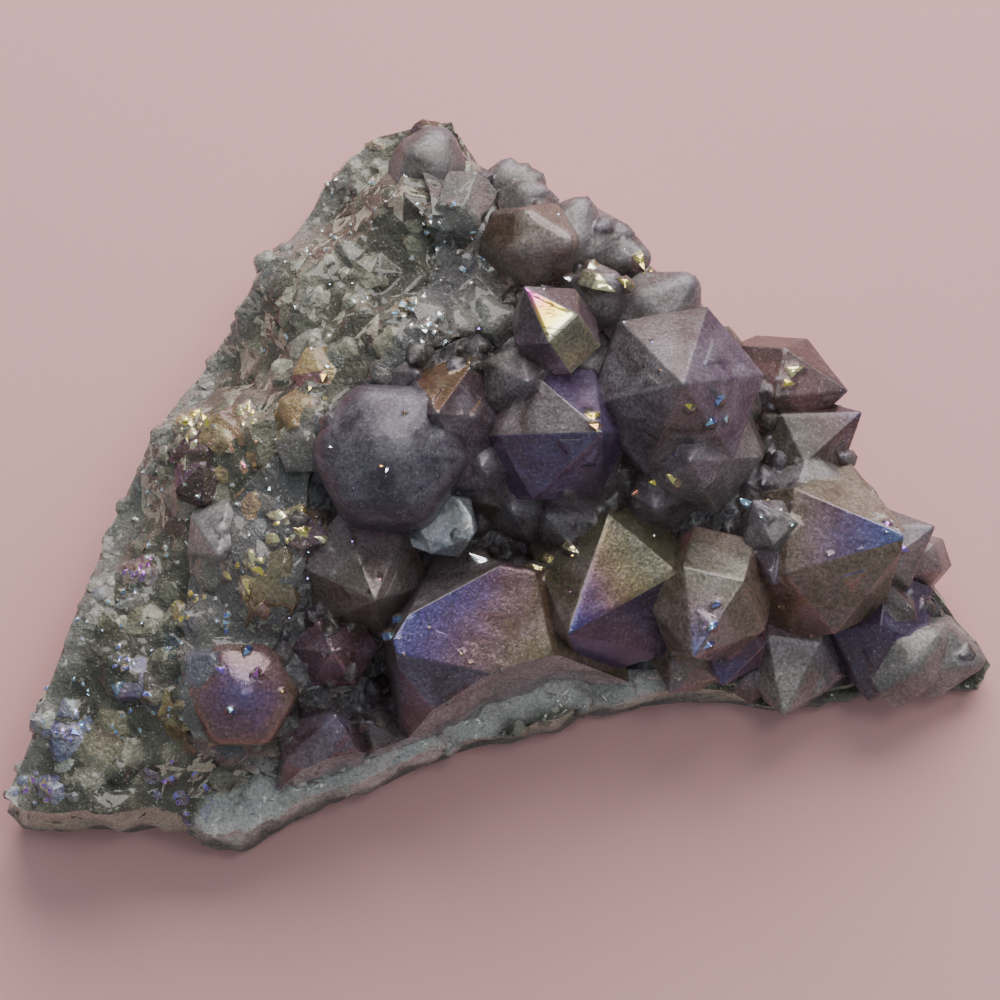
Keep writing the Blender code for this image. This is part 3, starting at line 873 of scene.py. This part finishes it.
def add_rock_glints(cluster, chance, rock):
    """The facets of the rock that face the overhead light."""
    bm = bmesh.new()
    bm.from_mesh(rock)
    top = top_of(bm)
    for x, y, patch, count, size, thickness in ROCK_GLINTS:
        for _ in range(count):
            around, far = chance.uniform(0, 360), patch * math.sqrt(chance.random())
            spot_x = x + far * math.cos(math.radians(around))
            spot_y = y + far * math.sin(math.radians(around))
            radius, turn = size * chance.uniform(0.5, 1.3), chance.uniform(0, 360)
            high, film = top(spot_x, spot_y), thickness + chance.uniform(-0.06, 0.06)
            if high:
                cluster.add_glint((spot_x, spot_y, high + ROCK_GLINT_LIFT), radius, turn, film)


def rock_marks(spot, normal):
    """How much a point of the rock is pale rim, how much dark rind, and 1 where it lies under the crust."""
    from_left = edge_distance(spot.x, spot.y, LEFT_EDGE)
    rim = LEFT_PALE * (1 - smooth_step(from_left, 0.5 * RIM_WIDTH, 1.5 * RIM_WIDTH))
    front = edge_distance(spot.x, spot.y, FRONT_EDGE) + 1.2 * noise.noise(spot / 2.5)
    rim = max(rim, FRONT_PALE * (1 - smooth_step(front, *FRONT_DEPTH)) * smooth_step(spot.z, *FRONT_HEIGHT))
    low = 1 - smooth_step(spot.z + 1.5 * noise.noise(spot / 3), *RIND_HEIGHT)
    rind = low * smooth_step(0.9 - normal.z, 0, 0.5)
    return rim, rind, 1 if inside(spot.x, spot.y, CRUST_OUTLINE) else 0


def rock_push(spot, normal):
    """How far the relief moves a point of the rock along its normal. The broken sides are rougher."""
    push = relief(spot, ROCK_RELIEF)
    upright = smooth_step(0.7 - abs(normal.z), 0, 0.5)
    push += upright * sum(depth * (noise.noise(spot / size) - 0.1) for size, depth in SIDE_RELIEF)
    return push * smooth_step(spot.z, 0, 1.5)


def rock_piece():
    """The rock with its lumps, its relief and its glinting facets. Its flat underside stays flat."""
    crust = raised_crust()
    cluster, chance = rock_lumps()
    whole = helper("rock", node_copy("matrix"))
    boolean(whole, "UNION", [crust, *cluster.objects])
    lumpy = evaluated_mesh(whole)
    lumps = len(cluster.objects)
    add_rock_glints(cluster, chance, lumpy)
    whole = bpy.data.objects.new("lumpy rock", lumpy)
    boolean(whole, "UNION", cluster.objects[lumps:])
    boolean(whole, "INTERSECT", [prism("above", [(-70, -70), (70, -70), (70, 70), (-70, 70)], 0, HIGH)])
    bm = refined(whole, ROCK_LONGEST_EDGE * MM)
    rock = bm.verts.layers.float_vector.new("rock")
    flat = mirror_points(bm, cluster)
    for vert in bm.verts:
        spot = vert.co / MM + Vector((*CENTRE, 0))
        vert[rock] = rock_marks(spot, vert.normal)
        if spot.z > 0.05 and vert not in flat:
            vert.co += vert.normal * rock_push(spot, vert.normal) * MM
            vert.co.z = max(vert.co.z, 0.02 * MM)
    return finished_mesh("matrix", bm, cluster, ROCK_SHARP)


def fill(tree, node, inputs):
    """Sets a node's inputs to values, or links other nodes' outputs to them."""
    for key, value in inputs.items():
        if isinstance(value, bpy.types.NodeSocket):
            tree.links.new(value, node.inputs[key])
        else:
            node.inputs[key].default_value = value


def add(tree, kind, inputs=None, **settings):
    """A node of the tree, with its settings and its inputs, which are values or other nodes' outputs."""
    node = tree.nodes.new("ShaderNode" + kind)
    for key, value in settings.items():
        setattr(node, key, value)
    fill(tree, node, inputs or {})
    return node


def maths(tree, operation, *values, clamp=False):
    node = add(tree, "Math", dict(enumerate(values)), operation=operation, use_clamp=clamp)
    return node.outputs[0]


def times(tree, value, factor, clamp=False):
    return maths(tree, "MULTIPLY", value, factor, clamp=clamp)


def mixed(tree, factor, first, second, blend="MIX"):
    node = add(tree, "Mix", {0: factor}, data_type="RGBA", blend_type=blend, clamp_factor=True)
    for index, value in ((6, first), (7, second)):
        fill(tree, node, {index: value if isinstance(value, bpy.types.NodeSocket) else (*value, 1)})
    return node.outputs[2]


def ramp(tree, factor, stops):
    """A colour or a grey for the factor. A stop is a place and a colour."""
    node = add(tree, "ValToRGB", {"Fac": factor})
    while len(node.color_ramp.elements) < len(stops):
        node.color_ramp.elements.new(1)
    for element, (place, colour) in zip(node.color_ramp.elements, stops):
        element.position = place
        element.color = (*colour, 1) if isinstance(colour, tuple) else (colour, colour, colour, 1)
    return node.outputs["Color"]


def group(name, inputs, outputs):
    """An empty node group with its sockets, and its input and output nodes."""
    tree = bpy.data.node_groups.new(name, "ShaderNodeTree")
    for socket, kind in inputs:
        tree.interface.new_socket(socket, in_out="INPUT", socket_type="NodeSocket" + kind)
    for socket, kind in outputs:
        tree.interface.new_socket(socket, in_out="OUTPUT", socket_type="NodeSocket" + kind)
    return tree, tree.nodes.new("NodeGroupInput").outputs, tree.nodes.new("NodeGroupOutput").inputs


# Colours of the film as it gets thicker
FILM_COLOURS = [
    (0.0, (0.5, 0.46, 0.28)), (0.14, (0.6, 0.48, 0.2)), (0.3, (0.5, 0.29, 0.15)),
    (0.43, (0.42, 0.17, 0.24)), (0.56, (0.25, 0.1, 0.42)), (0.68, (0.13, 0.09, 0.5)),
    (0.8, (0.09, 0.14, 0.58)), (0.9, (0.28, 0.55, 0.72)), (1.0, (0.64, 0.72, 0.64)),
]


def film_group():
    """Aura film: the colour of a thin film of this thickness over the body's colour."""
    tree, given, gives = group(
        "aura film", [("Body", "Color"), ("Thickness", "Float"), ("Strength", "Float")], [("Color", "Color")]
    )
    colour = ramp(tree, given["Thickness"], FILM_COLOURS)
    tree.links.new(mixed(tree, given["Strength"], given["Body"], colour), gives["Color"])
    return tree


def grain_group():
    """Quartz grain: clouds, fine grain, and painted glints (pale points that stand in for glints of light),
    at the scales that quartz shows.
    """
    tree, given, gives = group(
        "quartz grain",
        [("Vector", "Vector")],
        [("Clouds", "Float"), ("Grain", "Float"), ("Painted glints", "Float")],
    )
    place = given["Vector"]
    clouds = add(
        tree, "TexNoise", {"Vector": place, "Scale": 230, "Detail": 5, "Roughness": 0.62, "Distortion": 0.8}
    )
    grain = add(tree, "TexNoise", {"Vector": place, "Scale": 2900, "Detail": 3, "Roughness": 0.7})
    # Painted glints: scattered points that the materials paint pale, as painted highlights
    cells = add(tree, "TexVoronoi", {"Vector": place, "Scale": 3600})
    near = maths(tree, "LESS_THAN", cells.outputs["Distance"], 0.32)
    drawn = add(tree, "SeparateColor", {0: cells.outputs["Color"]}).outputs[0]
    chosen = maths(tree, "GREATER_THAN", drawn, 0.84)
    tree.links.new(clouds.outputs["Fac"], gives["Clouds"])
    tree.links.new(grain.outputs["Fac"], gives["Grain"])
    tree.links.new(times(tree, near, chosen), gives["Painted glints"])
    return tree


def material(name):
    """A new material, its node tree and its shader."""
    made = bpy.data.materials.new(name)
    made.use_nodes = True
    return made, made.node_tree, made.node_tree.nodes["Principled BSDF"]


def use(tree, shared, **inputs):
    """The outputs of a shared group with these inputs."""
    return add(tree, "Group", inputs, node_tree=shared).outputs


def marked(tree, name):
    """The three parts of the piece's own attribute of this name."""
    vector = add(tree, "Attribute", attribute_name=name).outputs["Vector"]
    return list(add(tree, "SeparateXYZ", {0: vector}).outputs)


DARK_BODY = (0.11, 0.1, 0.11)
PALE_BODY = (0.82, 0.8, 0.83)
WORN_COLOUR = (0.4, 0.36, 0.4)
# Colour of the painted glints on the crystals
CRYSTAL_PAINTED_GLINT = (0.85, 0.8, 0.88)
QUARTZ_IOR = 1.54


def crystal_material(film, grain):
    """Coated amethyst: a cloudy see-through body under the film, painted darker towards the roots as shade,
    worn pale edges and painted glints as pale points.
    """
    made, tree, shader = material("aura amethyst")
    film_thickness, film_strength, body_tone = marked(tree, "film")
    worn = add(tree, "Attribute", attribute_name="worn").outputs["Fac"]
    grains = use(tree, grain, Vector=add(tree, "TexCoord").outputs["Object"])
    soft = maths(tree, "SUBTRACT", grains["Clouds"], 0.5)
    tone = maths(tree, "ADD", body_tone, times(tree, soft, 1.9), clamp=True)
    body = mixed(tree, tone, DARK_BODY, PALE_BODY)
    thickness = maths(tree, "ADD", film_thickness, times(tree, soft, 0.35), clamp=True)
    patchy = ramp(tree, grains["Clouds"], [(0.3, 0.75), (0.7, 1)])
    strength = times(tree, film_strength, patchy, clamp=True)
    colour = use(tree, film, Body=body, Thickness=thickness, Strength=strength)["Color"]
    speck = ramp(tree, grains["Grain"], [(0.32, 0.5), (0.5, 1), (0.68, 1.7)])
    colour = mixed(tree, 1.0, colour, speck, "MULTIPLY")
    colour = mixed(tree, times(tree, worn, 0.15), colour, WORN_COLOUR)
    # Painted highlights: pale points mixed into the colour in place of glints
    colour = mixed(tree, times(tree, grains["Painted glints"], 0.55), colour, CRYSTAL_PAINTED_GLINT)
    bare = ramp(tree, film_strength, [(0.1, 0.3), (0.7, 0)])
    polish = ramp(tree, grains["Clouds"], [(0.3, 0.1), (0.7, 0.26)])
    bump = add(tree, "Bump", {"Height": grains["Grain"], "Distance": 0.00006, "Strength": 0.5})
    surface = {
        "Base Color": colour,
        "Roughness": maths(tree, "ADD", bare, polish),
        "Normal": bump.outputs[0],
        "Metallic": 0.12,
        "Transmission Weight": 0.78,
        "IOR": QUARTZ_IOR,
        "Coat Weight": 0.08,
        "Coat Roughness": 0.12,
    }
    fill(tree, shader, surface)
    volume = add(tree, "VolumeAbsorption", {"Color": (0.7, 0.66, 0.73, 1), "Density": 55})
    fill(tree, tree.nodes["Material Output"], {"Volume": volume.outputs[0]})
    return made


# Colours of the bright facets as their film gets thicker
MIRROR_COLOURS = [
    (0.0, (0.92, 0.9, 0.68)), (0.12, (0.85, 0.7, 0.14)), (0.26, (0.75, 0.4, 0.12)),
    (0.42, (0.7, 0.12, 0.42)), (0.6, (0.35, 0.17, 0.75)), (0.8, (0.3, 0.62, 0.85)),
    (0.95, (0.8, 0.85, 0.9)),
]


def mirror_material():
    """The bright facets: film over a smooth face, with thin lines of growth across it."""
    made, tree, shader = material("bright facet")
    film_thickness, _, _ = marked(tree, "film")
    colour = ramp(tree, film_thickness, MIRROR_COLOURS)
    place = add(tree, "TexCoord").outputs["Object"]
    along = add(tree, "Mapping", {"Vector": place, "Scale": (0.35, 1.8, 1.8)}).outputs[0]
    lines = add(tree, "TexNoise", {"Vector": along, "Scale": 1500, "Detail": 2, "Roughness": 0.7})
    speck = ramp(tree, lines.outputs["Fac"], [(0.36, 0.3), (0.42, 1)])
    colour = mixed(tree, 1.0, colour, speck, "MULTIPLY")
    fill(tree, shader, {"Base Color": colour, "Metallic": 0.9, "Roughness": 0.16})
    return made


# The rock's body from its darkest to its palest, and the colours of its other places
ROCK_BODY = [
    (0.0, (0.012, 0.012, 0.01)), (0.3, (0.065, 0.067, 0.05)), (0.5, (0.175, 0.172, 0.125)),
    (0.75, (0.385, 0.38, 0.295)),
]
RIM_COLOUR = (0.52, 0.52, 0.5)
UNDER_CRUST = (0.12, 0.118, 0.13)
CRACK_COLOUR = (0.035, 0.04, 0.03)
DARK_RIND = (0.015, 0.018, 0.02)
PALE_RIND = (0.2, 0.21, 0.22)
# Colour of the painted glints on the rock
ROCK_PAINTED_GLINT = (0.9, 0.9, 0.85)


def rock_material(film, grain):
    """Massive quartz: milky grey and sugary, with dark cracks, a dark rind below, coated patches, painted
    shade between its lumps and painted glints.
    """
    made, tree, shader = material("grey quartz")
    film_thickness, film_strength, body_tone = marked(tree, "film")
    rim, rind, under = marked(tree, "rock")
    place = add(tree, "TexCoord").outputs["Object"]
    grains = use(tree, grain, Vector=place)
    # The body tone carries the painted shade of the crevices between the lumps
    tone = maths(tree, "ADD", grains["Clouds"], times(tree, body_tone, 0.6), clamp=True)
    body = ramp(tree, tone, ROCK_BODY)
    body = mixed(tree, times(tree, rim, 0.5), body, RIM_COLOUR)
    body = mixed(tree, times(tree, under, 0.6), body, UNDER_CRUST)
    turned = add(tree, "Mapping", {"Vector": place, "Rotation": (0, 0, math.radians(38)), "Scale": (1, 4, 1)})
    cracks = {"Vector": turned.outputs[0], "Scale": 420, "Detail": 4, "Roughness": 0.65}
    dark = ramp(tree, add(tree, "TexNoise", cracks).outputs["Fac"], [(0.3, 1), (0.38, 0)])
    body = mixed(tree, times(tree, dark, 0.75), body, CRACK_COLOUR)
    skin = mixed(tree, grains["Clouds"], DARK_RIND, PALE_RIND)
    body = mixed(tree, times(tree, rind, 0.85), body, skin)
    stray = times(tree, maths(tree, "SUBTRACT", grains["Grain"], 0.5), 0.5)
    thickness = maths(tree, "ADD", film_thickness, stray, clamp=True)
    strength = times(tree, film_strength, 0.8)
    colour = use(tree, film, Body=body, Thickness=thickness, Strength=strength)["Color"]
    speck = ramp(tree, grains["Grain"], [(0.3, 0.6), (0.5, 1), (0.75, 1.35)])
    colour = mixed(tree, 1.0, colour, speck, "MULTIPLY")
    # Painted highlights: pale points mixed into the colour in place of glints
    colour = mixed(tree, times(tree, grains["Painted glints"], 0.25), colour, ROCK_PAINTED_GLINT)
    rough = ramp(tree, grains["Grain"], [(0.3, 0.14), (0.7, 0.4)])
    rough = maths(tree, "SUBTRACT", rough, times(tree, film_strength, 0.2))
    rough = maths(tree, "MAXIMUM", rough, times(tree, rind, 0.75))
    flow = add(
        tree, "TexNoise", {"Vector": place, "Scale": 800, "Detail": 3, "Roughness": 0.6, "Distortion": 1.6}
    )
    broad = add(tree, "Bump", {"Height": flow.outputs["Fac"], "Distance": 0.0006, "Strength": 0.7})
    fine = {"Height": grains["Grain"], "Distance": 0.00015, "Strength": 0.6, "Normal": broad.outputs[0]}
    surface = {
        "Base Color": colour,
        "Roughness": rough,
        "Metallic": times(tree, film_strength, 0.5),
        "Coat Weight": times(tree, maths(tree, "SUBTRACT", 1, rind), 0.8, clamp=True),
        "Normal": add(tree, "Bump", fine).outputs[0],
        "Subsurface Weight": 0.2,
        "Subsurface Radius": (1, 0.9, 0.8),
        "Subsurface Scale": 0.0015,
        "Coat Roughness": 0.08,
        "Specular IOR Level": 0.2,
        "IOR": QUARTZ_IOR,
    }
    fill(tree, shader, surface)
    return made


def piece(name, mesh, materials):
    """A finished piece that stands for the CAD node of the same name."""
    for finish in materials:
        mesh.materials.append(finish)
    obj = bpy.data.objects.new(f"{name}_finished", mesh)
    bpy.context.scene.collection.objects.link(obj)
    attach(obj, "root")
    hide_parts(name)


def area_light(name, at, size, power, colour=(1, 1, 1)):
    """A round light that shines on the origin."""
    light = bpy.data.lights.new(name, "AREA")
    light.shape = "DISK"
    light.size = size
    light.energy = power
    light.color = colour
    obj = bpy.data.objects.new(name, light)
    obj.location = at
    obj.rotation_euler = (-Vector(at)).to_track_quat("-Z", "Y").to_euler()
    bpy.context.scene.collection.objects.link(obj)


# The studio, in metres
FLOOR_COLOUR = (0.715, 0.385, 0.378, 1)
FILL_COLOUR = (0.82, 0.94, 1, 1)
FILL_STRENGTH = 0.42
WINDOW_PLACE = (0.08, 0.36, 0.27)
WINDOW_COLOUR = (1, 0.94, 0.92)
OVERHEAD_PLACE = Vector((0.2325, 0.0017, 0.97)) * 0.8


def stage():
    """The floor, the light and the camera."""
    bm = bmesh.new()
    bmesh.ops.create_grid(bm, x_segments=1, y_segments=1, size=1.5)
    mesh = bpy.data.meshes.new("floor")
    bm.to_mesh(mesh)
    bm.free()
    made, tree, shader = material("pale paper")
    fill(tree, shader, {"Base Color": FLOOR_COLOUR, "Roughness": 0.8})
    mesh.materials.append(made)
    floor = bpy.data.objects.new("floor", mesh)
    bpy.context.scene.collection.objects.link(floor)

    world = bpy.data.worlds.new("studio")
    world.use_nodes = True
    background = world.node_tree.nodes["Background"]
    fill(world.node_tree, background, {"Color": FILL_COLOUR, "Strength": FILL_STRENGTH})
    bpy.context.scene.world = world
    area_light("window", WINDOW_PLACE, 0.55, 4.1, WINDOW_COLOUR)
    area_light("overhead", OVERHEAD_PLACE, 0.2, 0.7)

    camera = bpy.data.cameras.new("camera")
    camera.sensor_width = SENSOR
    camera.lens = SENSOR * VIEW_DISTANCE / (VIEW_WIDTH * MM)
    obj = bpy.data.objects.new("camera", camera)
    raised = math.radians(VIEW_ELEVATION)
    back = Vector((0, -math.cos(raised), math.sin(raised)))
    obj.location = Vector(VIEW_AIM) + back * VIEW_DISTANCE
    obj.rotation_euler = (-back).to_track_quat("-Z", "Y").to_euler()
    bpy.context.scene.collection.objects.link(obj)
    bpy.context.scene.camera = obj


film, grain = film_group(), grain_group()
mirror = mirror_material()
piece("crystals", crystals_piece(), [crystal_material(film, grain), mirror])
piece("matrix", rock_piece(), [rock_material(film, grain), mirror])
stage()
